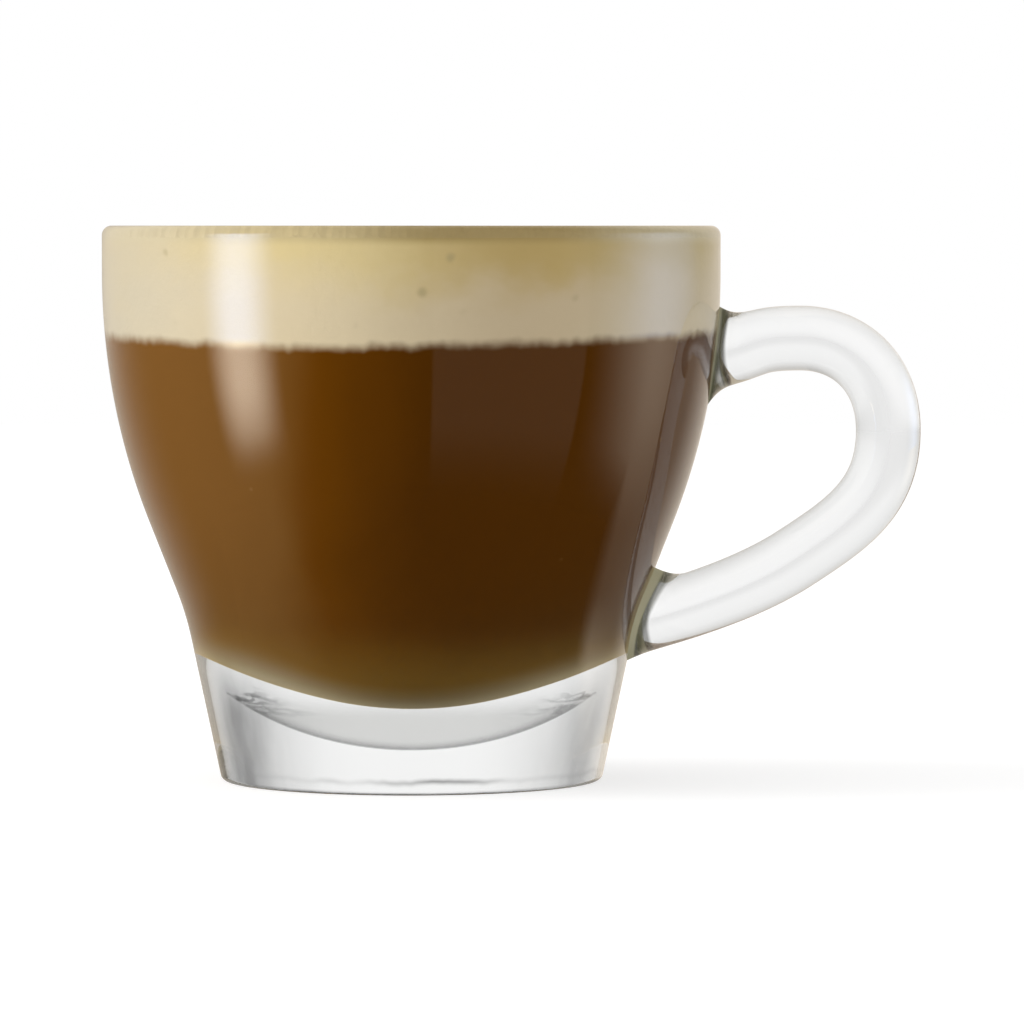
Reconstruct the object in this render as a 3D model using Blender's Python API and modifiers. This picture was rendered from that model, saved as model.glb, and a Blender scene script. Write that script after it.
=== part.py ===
"""Clear glass cappuccino cup on a thick glass foot, filled with coffee and milk foam.

Lengths are in metres and angles in degrees. The cup's axis is Z, its foot stands on the plane
z = 0, and the handle lies in the XZ plane on the +X side.
"""

import math

import bmesh
import bpy
from mathutils import Matrix, Vector
from mathutils.geometry import interpolate_bezier

# Bowl: its outer wall runs down from the rim
RIM_DIAMETER = 0.083
CUP_HEIGHT = 0.0745
WALL = 0.0026
UPRIGHT_HEIGHT = 0.0064
SHOULDER_RADIUS = 0.092
SHOULDER_TURN = 12.5
FLANK_RADIUS = 0.0895
FLANK_TURN = 9.0
WAIST_RADIUS = 0.042
WAIST_TURN = 9.5
SKIRT_HEIGHT = 0.0042
SEAM_HEIGHT = 0.0148
SEAM_EDGE_RADIUS = 0.0004

# Cavity: a wide arc thickens the wall on the way down to the round middle of the floor
CAVITY_FLOOR_HEIGHT = 0.0122
CAVITY_BALL_RADIUS = 0.024
CAVITY_BALL_TURN = 18.0

# Round bottom of the bowl, which sits in the dished foot
BOSS_RADIUS = 0.0223
BOSS_BOTTOM_HEIGHT = 0.0065
BOSS_FILLET_RADIUS = 0.001

# Foot
FOOT_STEP = 0.0002
FOOT_TAPER = 12.0
FOOT_EDGE_RADIUS = 0.0009

# Handle: heights are of its centreline, and reaches are measured outwards from the rim
HANDLE_THICKNESS = 0.0087
HANDLE_DEPTH = 0.0095
UPPER_JOINT_HEIGHT = 0.0570
UPPER_JOINT_RISE = 14.0
CREST_HEIGHT = 0.0594
CREST_REACH = 0.0108
LOOP_REACH = 0.0226
LOOP_REACH_HEIGHT = 0.0470
LOWER_RUN_HEIGHT = 0.0298
LOWER_RUN_REACH = 0.0101
LOWER_RUN_SLOPE = 33.0
LOWER_JOINT_HEIGHT = 0.0212
LOWER_JOINT_SLOPE = 17.0
JOINT_SWELL = 0.002
JOINT_SWELL_LENGTH = 0.0042
JOINT_ROOT_LENGTH = 0.005

# Handle: how far the centreline's curves hold their direction at each of its points
UPPER_JOINT_TANGENT = 0.0063
CREST_TANGENT = 0.0066
LOOP_UPPER_TANGENT = 0.0078
LOOP_LOWER_TANGENT = 0.009
LOWER_RUN_TANGENT = 0.0085
LOWER_JOINT_TANGENT = 0.005

# Drink: it reaches up to a little below the rim
HEADSPACE = 0.0005
CREMA_THICKNESS = 0.0008
FOAM_THICKNESS = 0.0132

# Gap between pieces that touch
CLEARANCE = 0.0003

# Fineness of the round surfaces
TURN_STEPS = 48
CHORD_TOLERANCE = 0.00004
HANDLE_PIECES = 12
HANDLE_ROUNDNESS = 8
MERGE_DISTANCE = 0.00001


class WallPath:
    """Half-section line made of straights and tangent arcs.

    The heading is the angle from straight down, positive towards the axis. A stretch is a length
    and the angle that it turns through.
    """

    def __init__(self, radius, height, heading=0.0):
        self.start = (radius, height, math.radians(heading))
        self.stretches = []
        self.skirt_end = 0.0

    def straight(self, length):
        self.stretches.append((length, 0.0))
        return self

    def arc(self, radius, turn):
        swing = math.radians(turn)
        self.stretches.append((radius * abs(swing), swing))
        return self

    def straight_to_height(self, height):
        _, z, heading = self.at(self.length())
        return self.straight((z - height) / math.cos(heading))

    def moved_in(self, inset):
        """The parallel path at an inset, whose arcs keep their centres."""
        radius, height, heading = self.at(0.0, inset)
        moved = WallPath(radius, height, math.degrees(heading))
        moved.stretches = [(length - inset * swing, swing) for length, swing in self.stretches]
        return moved

    def cut_off(self, distance):
        """Drop what lies beyond a distance along the path."""
        kept = []
        for length, swing in self.stretches:
            part = min(max(distance, 0.0), length)
            if part > 0.0:
                kept.append((part, swing * part / length))
            distance -= length
        self.stretches = kept

    def length(self):
        return sum(length for length, _ in self.stretches)

    def at(self, distance, inset=0.0):
        """Radius, height and heading at a distance along the path, moved inwards by inset."""
        radius, height, heading = self.start
        for length, swing in self.stretches:
            part = min(distance, length)
            if swing:
                bend = length / swing
                after = heading + part / bend
                radius += bend * (math.cos(after) - math.cos(heading))
                height -= bend * (math.sin(after) - math.sin(heading))
                heading = after
            else:
                radius -= part * math.sin(heading)
                height -= part * math.cos(heading)
            distance -= part
            if distance <= 0.0:
                break
        return radius - inset * math.cos(heading), height + inset * math.sin(heading), heading

    def distance_at_height(self, height, inset=0.0):
        """Distance at which the path, which falls all the way, comes down to a height."""
        return bisect(lambda distance: self.at(distance, inset)[1] - height, 0.0, self.length())

    def points(self, first, last, inset=0.0):
        """Points from one distance to another, with arcs cut into short chords."""
        stops = [first]
        begin = 0.0
        for length, swing in self.stretches:
            pieces = chord_count(length, swing)
            stops += [begin + length * (i + 1) / pieces for i in range(pieces)]
            begin += length
        inner = [stop for stop in stops if first + MERGE_DISTANCE < stop < last - MERGE_DISTANCE]
        return [self.at(stop, inset)[:2] for stop in [first] + inner + [last]]


def chord_count(length, swing):
    """Number of chords that stay within the tolerance of an arc, or one for a straight."""
    if not swing:
        return 1
    return math.ceil(math.sqrt(length * abs(swing) / (8 * CHORD_TOLERANCE)))


def bisect(function, low, high):
    """Root of a function that is positive at low and negative at high."""
    for _ in range(60):
        middle = (low + high) / 2
        if function(middle) > 0.0:
            low = middle
        else:
            high = middle
    return (low + high) / 2


def bowl_wall():
    """Outer wall of the bowl, from the height of the rim down to the seam with the foot."""
    wall = WallPath(RIM_DIAMETER / 2, CUP_HEIGHT)
    wall.straight(UPRIGHT_HEIGHT)
    wall.arc(SHOULDER_RADIUS, SHOULDER_TURN)
    wall.arc(FLANK_RADIUS, FLANK_TURN)
    flank_angle = math.radians(SHOULDER_TURN + FLANK_TURN)
    skirt_angle = flank_angle - math.radians(WAIST_TURN)
    waist_drop = WAIST_RADIUS * (math.sin(flank_angle) - math.sin(skirt_angle))
    edge_drop = SEAM_EDGE_RADIUS * (1 - math.sin(skirt_angle))
    wall.straight_to_height(SEAM_HEIGHT + edge_drop + SKIRT_HEIGHT + waist_drop)
    wall.arc(WAIST_RADIUS, -WAIST_TURN)
    wall.straight_to_height(SEAM_HEIGHT + edge_drop)
    wall.skirt_end = wall.length()
    wall.arc(SEAM_EDGE_RADIUS, 90 - math.degrees(skirt_angle))
    return wall


def bowl_seat(wall):
    """Underside of the bowl: a flat ring at the seam, a fillet, and the round boss to the axis."""
    depth = SEAM_HEIGHT - BOSS_BOTTOM_HEIGHT
    swing = math.acos(1 - depth / (BOSS_RADIUS + BOSS_FILLET_RADIUS))
    ring_outer = wall.at(wall.length())[0]
    ring_inner = (BOSS_RADIUS + BOSS_FILLET_RADIUS) * math.sin(swing)
    seat = WallPath(ring_outer, SEAM_HEIGHT, 90)
    seat.straight(ring_outer - ring_inner)
    seat.arc(BOSS_FILLET_RADIUS, -math.degrees(swing))
    seat.arc(BOSS_RADIUS, math.degrees(swing))
    return seat


def cavity_wall(wall):
    """Inside of the bowl: the wall moved in, a wide arc tangent to it, and the ball-shaped middle."""
    start = math.radians(90 - CAVITY_BALL_TURN)
    join_radius = CAVITY_BALL_RADIUS * math.cos(start)
    join_height = CAVITY_FLOOR_HEIGHT + CAVITY_BALL_RADIUS * (1 - math.sin(start))
    cavity = wall.moved_in(WALL)

    def half_turn_past_chord(distance):
        """An arc from here is tangent to both if its chord lies at half of its turn."""
        radius, height, heading = cavity.at(distance)
        return (heading + start) / 2 - math.atan2(radius - join_radius, height - join_height)

    leave = bisect(half_turn_past_chord, 0.0, cavity.length())
    _, height, heading = cavity.at(leave)
    cavity.cut_off(leave)
    arc_radius = (height - join_height) / (math.sin(start) - math.sin(heading))
    cavity.arc(arc_radius, math.degrees(start - heading))
    cavity.arc(CAVITY_BALL_RADIUS, CAVITY_BALL_TURN)
    return cavity


def bowl_profile(wall, cavity):
    """From the middle of the cavity floor, up the inside, over the lip and down the outside."""
    lip_radius = WALL / 2
    inside = cavity.points(lip_radius, cavity.length())
    lip = WallPath(RIM_DIAMETER / 2 - WALL, CUP_HEIGHT - lip_radius, -180)
    lip.arc(lip_radius, 90).arc(lip_radius, 90)
    outside = wall.points(lip_radius, wall.length())
    seat = bowl_seat(wall)
    underside = seat.points(0.0, seat.length())
    return inside[::-1] + lip.points(0.0, lip.length())[1:-1] + outside + underside[1:]


def foot_profile(wall):
    """From the middle of the dish, out over the top ring, down the tapered side to the base."""
    seat = bowl_seat(wall)
    dish = seat.points(0.0, seat.length(), -CLEARANCE)[1:]
    top_radius = wall.at(wall.skirt_end)[0] - FOOT_STEP
    side = WallPath(top_radius - SEAM_EDGE_RADIUS, SEAM_HEIGHT - CLEARANCE, -90)
    side.arc(SEAM_EDGE_RADIUS, 90 + FOOT_TAPER)
    side.straight_to_height(FOOT_EDGE_RADIUS * (1 - math.sin(math.radians(FOOT_TAPER))))
    side.arc(FOOT_EDGE_RADIUS, 90 - FOOT_TAPER)
    return dish[::-1] + side.points(0.0, side.length()) + [(0.0, 0.0)]


def coffee_profile(cavity, level):
    """Flat top of the coffee, then down the inside of the bowl to the middle of its floor."""
    top = cavity.distance_at_height(level, CLEARANCE)
    return [(0.0, level)] + cavity.points(top, cavity.length(), CLEARANCE)


def layer_profile(cavity, low, high):
    """Disc between two heights that fills the bowl from wall to wall."""
    first = cavity.distance_at_height(high, CLEARANCE)
    last = cavity.distance_at_height(low, CLEARANCE)
    return [(0.0, high)] + cavity.points(first, last, CLEARANCE) + [(0.0, low)]


def cutter_profile(wall):
    """Outer wall with its clearance, closed to a solid that reaches from the rim to the base."""
    side = wall.points(0.0, wall.skirt_end, -CLEARANCE)
    return [(0.0, CUP_HEIGHT)] + side + [(side[-1][0], 0.0), (0.0, 0.0)]


def make_collection(name):
    collection = bpy.data.collections.new(name)
    bpy.context.scene.collection.children.link(collection)
    return collection


def make_material(name, colour, roughness, transmission=0.0):
    material = bpy.data.materials.new(name)
    material.use_nodes = True
    shader = material.node_tree.nodes["Principled BSDF"]
    shader.inputs["Base Color"].default_value = (*colour, 1.0)
    shader.inputs["Roughness"].default_value = roughness
    shader.inputs["Metallic"].default_value = 0.0
    shader.inputs["Transmission Weight"].default_value = transmission
    material.diffuse_color = (*colour, 1.0)
    return material


def make_turned(name, profile, collection):
    """Solid of revolution about Z from a half-section that runs down its outer side."""
    mesh = bpy.data.meshes.new(name)
    edges = [(i, i + 1) for i in range(len(profile) - 1)]
    mesh.from_pydata([(radius, 0.0, height) for radius, height in profile], edges, [])
    turned = bpy.data.objects.new(name, mesh)
    collection.objects.link(turned)
    screw = turned.modifiers.new("turn", "SCREW")
    screw.axis = "Z"
    screw.angle = 2 * math.pi
    screw.steps = TURN_STEPS
    screw.render_steps = TURN_STEPS
    screw.use_merge_vertices = True
    screw.merge_threshold = MERGE_DISTANCE
    screw.use_smooth_shade = True
    return turned


def heading_vector(angle):
    """Unit vector in the XZ plane, turned up from +X by an angle."""
    return Vector((math.cos(math.radians(angle)), 0.0, math.sin(math.radians(angle))))


def handle_centreline(wall):
    """Centreline from the upper joint over the crest and round the loop to the lower joint."""
    rim_radius = RIM_DIAMETER / 2
    upper_wall = wall.at(wall.distance_at_height(UPPER_JOINT_HEIGHT))[0]
    lower_wall = wall.at(wall.distance_at_height(LOWER_JOINT_HEIGHT))[0]
    upper = Vector((upper_wall, 0.0, UPPER_JOINT_HEIGHT))
    crest = Vector((rim_radius + CREST_REACH, 0.0, CREST_HEIGHT))
    loop = Vector((rim_radius + LOOP_REACH, 0.0, LOOP_REACH_HEIGHT))
    run = Vector((rim_radius + LOWER_RUN_REACH, 0.0, LOWER_RUN_HEIGHT))
    lower = Vector((lower_wall, 0.0, LOWER_JOINT_HEIGHT))
    out = heading_vector(UPPER_JOINT_RISE)
    across = heading_vector(0) * CREST_TANGENT
    rise = heading_vector(90)
    run_out = heading_vector(LOWER_RUN_SLOPE) * LOWER_RUN_TANGENT
    root_out = heading_vector(LOWER_JOINT_SLOPE)
    spans = (
        (upper, upper + out * UPPER_JOINT_TANGENT, crest - across, crest),
        (crest, crest + across, loop + rise * LOOP_UPPER_TANGENT, loop),
        (loop, loop - rise * LOOP_LOWER_TANGENT, run + run_out, run),
        (run, run - run_out, lower + root_out * LOWER_JOINT_TANGENT, lower),
    )
    line = [upper]
    for span in spans:
        line += interpolate_bezier(*span, HANDLE_PIECES + 1)[1:]
    return [upper - out * JOINT_ROOT_LENGTH] + line + [lower - root_out * JOINT_ROOT_LENGTH]


def swell_at(distance):
    """Share by which the rod swells at a distance from a joint, where it runs out into the wall."""
    left = max(0.0, 1.0 - max(distance, 0.0) / JOINT_SWELL_LENGTH)
    return 1.0 + JOINT_SWELL / (HANDLE_THICKNESS / 2) * left ** 2


def make_handle(name, wall, collection):
    """Oval rod along its centreline, swollen at both joints, as one closed mesh."""
    line = handle_centreline(wall)
    lengths = [0.0]
    for before, after in zip(line, line[1:]):
        lengths.append(lengths[-1] + (after - before).length)
    curve = bpy.data.curves.new(name + "_line", "CURVE")
    curve.dimensions = "3D"
    curve.bevel_depth = HANDLE_THICKNESS / 2
    curve.bevel_resolution = HANDLE_ROUNDNESS
    curve.use_fill_caps = True
    spline = curve.splines.new("POLY")
    spline.points.add(len(line) - 1)
    for point, place, along in zip(spline.points, line, lengths):
        point.co = (*place, 1.0)
        from_joint = min(along, lengths[-1] - along) - JOINT_ROOT_LENGTH
        point.radius = swell_at(from_joint)
    rod = bpy.data.objects.new(name + "_line", curve)
    collection.objects.link(rod)
    bpy.context.view_layer.update()
    evaluated = rod.evaluated_get(bpy.context.evaluated_depsgraph_get())
    mesh = bpy.data.meshes.new_from_object(evaluated)
    mesh.name = name
    solid = bmesh.new()
    solid.from_mesh(mesh)
    bmesh.ops.remove_doubles(solid, verts=solid.verts, dist=MERGE_DISTANCE)
    solid.to_mesh(mesh)
    solid.free()
    mesh.transform(Matrix.Scale(HANDLE_DEPTH / HANDLE_THICKNESS, 4, Vector((0.0, 1.0, 0.0))))
    mesh.shade_smooth()
    handle = bpy.data.objects.new(name, mesh)
    handle.matrix_world = rod.matrix_world
    collection.objects.link(handle)
    bpy.data.objects.remove(rod)
    return handle


def cut(target, cutter):
    boolean = target.modifiers.new("fit_to_bowl", "BOOLEAN")
    boolean.operation = "DIFFERENCE"
    boolean.solver = "EXACT"
    boolean.object = cutter
    cutter.hide_render = True
    cutter.display_type = "WIRE"


def build():
    for leftover in list(bpy.data.objects):
        bpy.data.objects.remove(leftover)
    cup = make_collection("cappuccino_cup")
    cutters = make_collection("cutters")
    wall = bowl_wall()
    cavity = cavity_wall(wall)

    crema_top = CUP_HEIGHT - HEADSPACE
    crema_low = crema_top - CREMA_THICKNESS
    foam_top = crema_low - CLEARANCE
    foam_low = foam_top - FOAM_THICKNESS
    coffee_top = foam_low - CLEARANCE

    bowl = make_turned("glass_bowl", bowl_profile(wall, cavity), cup)
    foot = make_turned("glass_foot", foot_profile(wall), cup)
    coffee = make_turned("coffee", coffee_profile(cavity, coffee_top), cup)
    foam = make_turned("milk_foam", layer_profile(cavity, foam_low, foam_top), cup)
    crema = make_turned("crema", layer_profile(cavity, crema_low, crema_top), cup)
    handle = make_handle("glass_handle", wall, cup)
    cut(handle, make_turned("bowl_clearance", cutter_profile(wall), cutters))

    bowl.data.materials.append(make_material("bowl_glass", (0.95, 0.97, 0.96), 0.02, 1.0))
    foot.data.materials.append(make_material("foot_glass", (0.95, 0.97, 0.96), 0.02, 1.0))
    handle.data.materials.append(make_material("handle_glass", (0.95, 0.97, 0.96), 0.03, 1.0))
    coffee.data.materials.append(make_material("coffee_brown", (0.09, 0.035, 0.008), 0.25))
    foam.data.materials.append(make_material("foam_cream", (0.60, 0.48, 0.30), 0.7))
    crema.data.materials.append(make_material("crema_tan", (0.36, 0.24, 0.10), 0.6))

    axis = bpy.data.objects.new("cup_axis", None)
    cup.objects.link(axis)
    for piece in (bowl, foot, handle, coffee, foam, crema):
        piece.parent = axis


build()
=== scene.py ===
import math

import bpy
import numpy as np
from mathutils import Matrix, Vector


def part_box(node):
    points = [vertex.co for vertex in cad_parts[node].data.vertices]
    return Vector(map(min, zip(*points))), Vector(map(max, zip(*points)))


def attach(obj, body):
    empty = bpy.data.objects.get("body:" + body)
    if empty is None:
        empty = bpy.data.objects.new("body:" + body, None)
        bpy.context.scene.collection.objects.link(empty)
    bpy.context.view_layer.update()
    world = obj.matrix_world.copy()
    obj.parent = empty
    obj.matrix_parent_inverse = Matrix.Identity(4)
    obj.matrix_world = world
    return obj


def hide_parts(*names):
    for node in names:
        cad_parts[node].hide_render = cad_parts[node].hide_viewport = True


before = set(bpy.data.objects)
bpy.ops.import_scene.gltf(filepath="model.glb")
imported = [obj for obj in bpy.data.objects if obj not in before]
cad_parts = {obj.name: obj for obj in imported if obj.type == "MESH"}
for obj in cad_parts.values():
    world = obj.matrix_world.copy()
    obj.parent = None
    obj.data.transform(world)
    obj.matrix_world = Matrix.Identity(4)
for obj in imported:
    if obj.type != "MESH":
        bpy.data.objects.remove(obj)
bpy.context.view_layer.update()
mm = 0.001
print("frame loaded:", ", ".join(sorted(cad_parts)))


# shader sockets that can be added, multiplied and raised like numbers
class Socket:
    def __init__(self, tree, socket):
        self.tree = tree
        self.socket = socket

    def __add__(self, other):
        return self.tree.math("ADD", self, other)

    def __sub__(self, other):
        return self.tree.math("SUBTRACT", self, other)

    def __mul__(self, other):
        return self.tree.math("MULTIPLY", self, other)

    def __truediv__(self, other):
        return self.tree.math("DIVIDE", self, other)

    def __pow__(self, other):
        return self.tree.math("POWER", self, other)

    def __rsub__(self, other):
        return self.tree.math("SUBTRACT", other, self)

    __radd__ = __add__
    __rmul__ = __mul__


# the nodes of one finish, or of the surroundings
class ShaderTree:
    def __init__(self, owner):
        owner.use_nodes = True
        self.nodes = owner.node_tree.nodes
        self.links = owner.node_tree.links
        self.nodes.clear()

    # any node: its settings first, then the values or links of its inputs
    def add(self, kind, settings=None, inputs=None, output=0):
        node = self.nodes.new("ShaderNode" + kind)
        for name, value in (settings or {}).items():
            setattr(node, name, value)
        for name, value in (inputs or {}).items():
            if isinstance(value, Socket):
                self.links.new(value.socket, node.inputs[name])
            else:
                node.inputs[name].default_value = value
        return Socket(self, node.outputs[output]) if node.outputs else None

    def math(self, operation, *values):
        return self.add("Math", {"operation": operation}, dict(enumerate(values)))

    # smooth rise from 0 to 1 between two values
    def rise(self, value, low, high):
        settings = {"interpolation_type": "SMOOTHSTEP"}
        return self.add("MapRange", settings, {0: value, 1: low, 2: high})

    # 1 between two values, with soft ends
    def band(self, value, low, high, soft):
        return self.rise(value, low - soft, low + soft) * (1 - self.rise(value, high - soft, high + soft))

    def mixColour(self, share, first, second):
        return self.add("Mix", {"data_type": "RGBA"}, {0: share, 6: first, 7: second}, 2)

    def mixShader(self, share, first, second):
        return self.add("MixShader", None, {0: share, 1: first, 2: second})

    def addShader(self, first, second):
        return self.add("AddShader", None, {0: first, 1: second})

    def matt(self, tone):
        return self.add("BsdfDiffuse", None, {"Color": tone})

    def clear(self, tone):
        return self.add("BsdfTransparent", None, {"Color": tone})

    def noise(self, place, scale, detail=2.0, roughness=0.5):
        inputs = {"Vector": place, "Scale": scale, "Detail": detail, "Roughness": roughness}
        return self.add("TexNoise", None, inputs)

    def cells(self, place, scale):
        return self.add("TexVoronoi", None, {"Vector": place, "Scale": scale})

    def bump(self, height, strength, distance):
        inputs = {"Strength": strength, "Distance": distance, "Height": height}
        return self.add("Bump", None, inputs)

    def stretched(self, place, scale):
        return self.add("Mapping", None, {"Vector": place, "Scale": scale})

    def place(self):
        return self.add("TexCoord", None, None, "Object")

    def axes(self, place):
        split = self.add("SeparateXYZ", None, {"Vector": place})
        return [Socket(self, output) for output in split.socket.node.outputs]

    def fromAxis(self, place):
        flat = self.add("VectorMath", {"operation": "MULTIPLY"}, {0: place, 1: (1.0, 1.0, 0.0)})
        return self.add("VectorMath", {"operation": "LENGTH"}, {0: flat}, "Value")

    # 0 where a surface is seen square on, 1 at its outline
    def facing(self):
        return self.add("LayerWeight", None, {"Blend": 0.5}, "Facing")

    def stored(self, name):
        return self.add("Attribute", {"attribute_name": name}, None, "Fac")

    def lightPath(self, output):
        return self.add("LightPath", None, None, output)

    # 1 for what is seen in a mirror image
    def mirrored(self):
        return self.math("MINIMUM", self.lightPath("Glossy Depth"), 1.0)

    def output(self, surface, kind="OutputMaterial"):
        self.add(kind, None, {"Surface": surface})


def newFinish(name):
    material = bpy.data.materials.new(name)
    return material, ShaderTree(material)


def colour(red, green, blue):
    return (red, green, blue, 1.0)


def grey(tone):
    return colour(tone, tone, tone)


# from the first number at share 0 to the second at share 1
def between(share, first, second):
    return share * (second - first) + first


def runningSum(values):
    return np.concatenate([[0.0], np.cumsum(values)])


def lengthAlong(line):
    return runningSum(np.hypot(*np.diff(line, axis=0).T))


def arcLength(radius, turn):
    return radius * math.radians(abs(turn))


def arcDrop(radius, first, last):
    return radius * (math.sin(math.radians(last)) - math.sin(math.radians(first)))


# points of a half-section and the heading at each: the heading turns evenly along each stretch, and
# each short chord steps down by its cosine and in towards the axis by its sine
def tangentLine(radius, height, heading, stretches, step=1.0 * mm, turnStep=3.0):
    lengths = [length for length, _ in stretches]
    turns = [turn for _, turn in stretches]
    counts = [math.ceil(max(length / step, abs(turn) / turnStep)) for length, turn in stretches]
    ends = runningSum(lengths)
    headings = np.radians(heading + runningSum(turns))
    spread = [np.linspace(ends[i], ends[i + 1], n, endpoint=False) for i, n in enumerate(counts)]
    along = np.concatenate(spread + [ends[-1:]])
    facing = np.interp(along, ends, headings)
    half = np.diff(facing) / 2
    chord = np.diff(along) * np.sinc(half / np.pi)
    middle = facing[:-1] + half
    inward = runningSum(chord * np.sin(middle))
    down = runningSum(chord * np.cos(middle))
    return np.column_stack([radius - inward, height - down, facing])


# the same line moved towards the axis, square to its own heading
def insetLine(line, inset):
    radius, height, facing = line.T
    moved = [radius - inset * np.cos(facing), height + inset * np.sin(facing)]
    return np.column_stack(moved + [facing])


def addObject(name, data):
    thing = bpy.data.objects.new(name, data)
    bpy.context.scene.collection.objects.link(thing)
    return thing


creaseAngle = 40.0  # edges sharper than this aren't smoothed


def addMesh(name, points, faces, node):
    mesh = bpy.data.meshes.new(name)
    mesh.from_pydata(points.tolist(), [], faces)
    mesh.shade_smooth()
    mesh.set_sharp_from_angle(angle=math.radians(creaseAngle))
    piece = addObject(name, mesh)
    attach(piece, "root")
    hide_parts(node)
    print("made", name, "with", len(points), "points")
    return piece


# a number for each point of a piece, for its finish
def keepNumbers(piece, name, values):
    attribute = piece.data.attributes.new(name, "FLOAT", "POINT")
    attribute.data.foreach_set("value", np.concatenate([np.ravel(v) for v in values]))


# quads between neighbouring rings of points, each ring closed on itself
def ringQuads(rings, sides):
    row = np.arange(rings - 1)[:, None] * sides
    here = np.arange(sides)[None, :]
    after = (here + 1) % sides
    quads = np.stack([row + here, row + sides + here, row + sides + after, row + after], axis=-1)
    return quads.reshape(-1, 4).tolist()


# triangles from a pole to the ring that begins at first
def poleFan(pole, first, sides, upwards):
    here = np.arange(sides)
    after = (here + 1) % sides
    pair = (first + here, first + after) if upwards else (first + after, first + here)
    return np.column_stack([np.full(sides, pole), *pair]).tolist()


# a grid of rings closed by a pole at each end; the grid runs from the upper pole, down the outside,
# to the lower pole, and holds x, y, z for each ring and side
def closedRings(name, grid, firstPole, lastPole, slot, node):
    rings, sides = grid.shape[:2]
    points = np.vstack([grid.reshape(-1, 3), firstPole, lastPole])
    count = rings * sides
    faces = ringQuads(rings, sides)
    faces += poleFan(count, 0, sides, True)
    faces += poleFan(count + 1, (rings - 1) * sides, sides, False)
    return addMesh(name, points, faces, node)


# a half-section from axis to axis, carried round the axis: (r cos a, r sin a, z); the bands of it
# that are melted into the next piece take the second material
def turned(name, profile, melted, sides, slot, node):
    angle = np.linspace(0.0, 2 * np.pi, sides, endpoint=False)
    radius = profile[1:-1, 0, None]
    height = np.repeat(profile[1:-1, 1, None], sides, axis=1)
    grid = np.stack([radius * np.cos(angle), radius * np.sin(angle), height], axis=-1)
    poles = [(0.0, 0.0, profile[0, 1]), (0.0, 0.0, profile[-1, 1])]
    piece = closedRings(name, grid, *poles, slot, node)
    bands = np.repeat(melted[1:-1], sides).astype(np.int32)
    caps = np.repeat(melted[[0, -1]], sides).astype(np.int32)
    piece.data.polygons.foreach_set("material_index", np.concatenate([bands, caps]))
    return piece


# bowl: rim, height and base come from the frame, the rest is its section
bowl = {
    "rimRadius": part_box("glass_bowl")[1].x,
    "height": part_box("glass_bowl")[1].z,
    "bossBottom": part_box("glass_bowl")[0].z,
    "wall": 2.6 * mm,
    "upright": 6.4 * mm,
    "shoulderRadius": 92.0 * mm,
    "shoulderTurn": 12.5,
    "flankRadius": 89.5 * mm,
    "flankTurn": 9.0,
    "waistRadius": 42.0 * mm,
    "waistTurn": 9.5,
    "skirt": 4.2 * mm,
    "seamHeight": 14.8 * mm,
    "floorHeight": 12.2 * mm,
    "ballRadius": 24.0 * mm,
    "ballTurn": 18.0,
    "bossRadius": 22.3 * mm,
    "bossFillet": 1.0 * mm,
    "lipPoints": 25,
    "sides": 192,
}


# outside of the bowl from the rim to the seam: upright, shoulder, flank, straight fall, waist, skirt
def bowlWall():
    flank = bowl["shoulderTurn"] + bowl["flankTurn"]
    skirt = flank - bowl["waistTurn"]
    fall = bowl["height"] - bowl["seamHeight"] - bowl["upright"] - bowl["skirt"]
    fall -= arcDrop(bowl["shoulderRadius"], 0.0, bowl["shoulderTurn"])
    fall -= arcDrop(bowl["flankRadius"], bowl["shoulderTurn"], flank)
    fall -= arcDrop(bowl["waistRadius"], skirt, flank)
    stretches = [
        (bowl["upright"], 0.0),
        (arcLength(bowl["shoulderRadius"], bowl["shoulderTurn"]), bowl["shoulderTurn"]),
        (arcLength(bowl["flankRadius"], bowl["flankTurn"]), bowl["flankTurn"]),
        (fall / math.cos(math.radians(flank)), 0.0),
        (arcLength(bowl["waistRadius"], bowl["waistTurn"]), -bowl["waistTurn"]),
        (bowl["skirt"] / math.cos(math.radians(skirt)), 0.0),
    ]
    return tangentLine(bowl["rimRadius"], bowl["height"], 0.0, stretches)


# underside of the bowl: flat ring at the seam, fillet, then the round boss down to the axis
def bowlSeat(wall):
    reach = bowl["bossRadius"] + bowl["bossFillet"]
    swing = math.degrees(math.acos(1 - (bowl["seamHeight"] - bowl["bossBottom"]) / reach))
    ring = wall[-1, 0] - reach * math.sin(math.radians(swing))
    stretches = [
        (ring, 0.0),
        (arcLength(bowl["bossFillet"], swing), -swing),
        (arcLength(bowl["bossRadius"], swing), swing),
    ]
    return tangentLine(wall[-1, 0], bowl["seamHeight"], 90.0, stretches)


# inside of the bowl from the rim to the axis: the wall moved in, then a wide arc that leaves it on a
# tangent where its chord halves the turn, then the ball that makes the floor of the cavity
def cavityLine(wall):
    inner = insetLine(wall, bowl["wall"])
    start = math.radians(90.0 - bowl["ballTurn"])
    joinRadius = bowl["ballRadius"] * math.cos(start)
    joinHeight = bowl["floorHeight"] + bowl["ballRadius"] * (1 - math.sin(start))
    chord = np.arctan2(inner[:, 0] - joinRadius, inner[:, 1] - joinHeight)
    excess = chord - (inner[:, 2] + start) / 2
    after = np.argmax(excess > 0)
    share = excess[after - 1] / (excess[after - 1] - excess[after])
    leave = inner[after - 1] + share * (inner[after] - inner[after - 1])
    haunch = (leave[1] - joinHeight) / (math.sin(start) - math.sin(leave[2]))
    turn = math.degrees(start - leave[2])
    stretches = [
        (arcLength(haunch, turn), turn),
        (arcLength(bowl["ballRadius"], bowl["ballTurn"]), bowl["ballTurn"]),
    ]
    floor = tangentLine(leave[0], leave[1], math.degrees(leave[2]), stretches)
    floor[-1, 0] = 0.0
    return np.vstack([inner[:after], floor])


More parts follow.
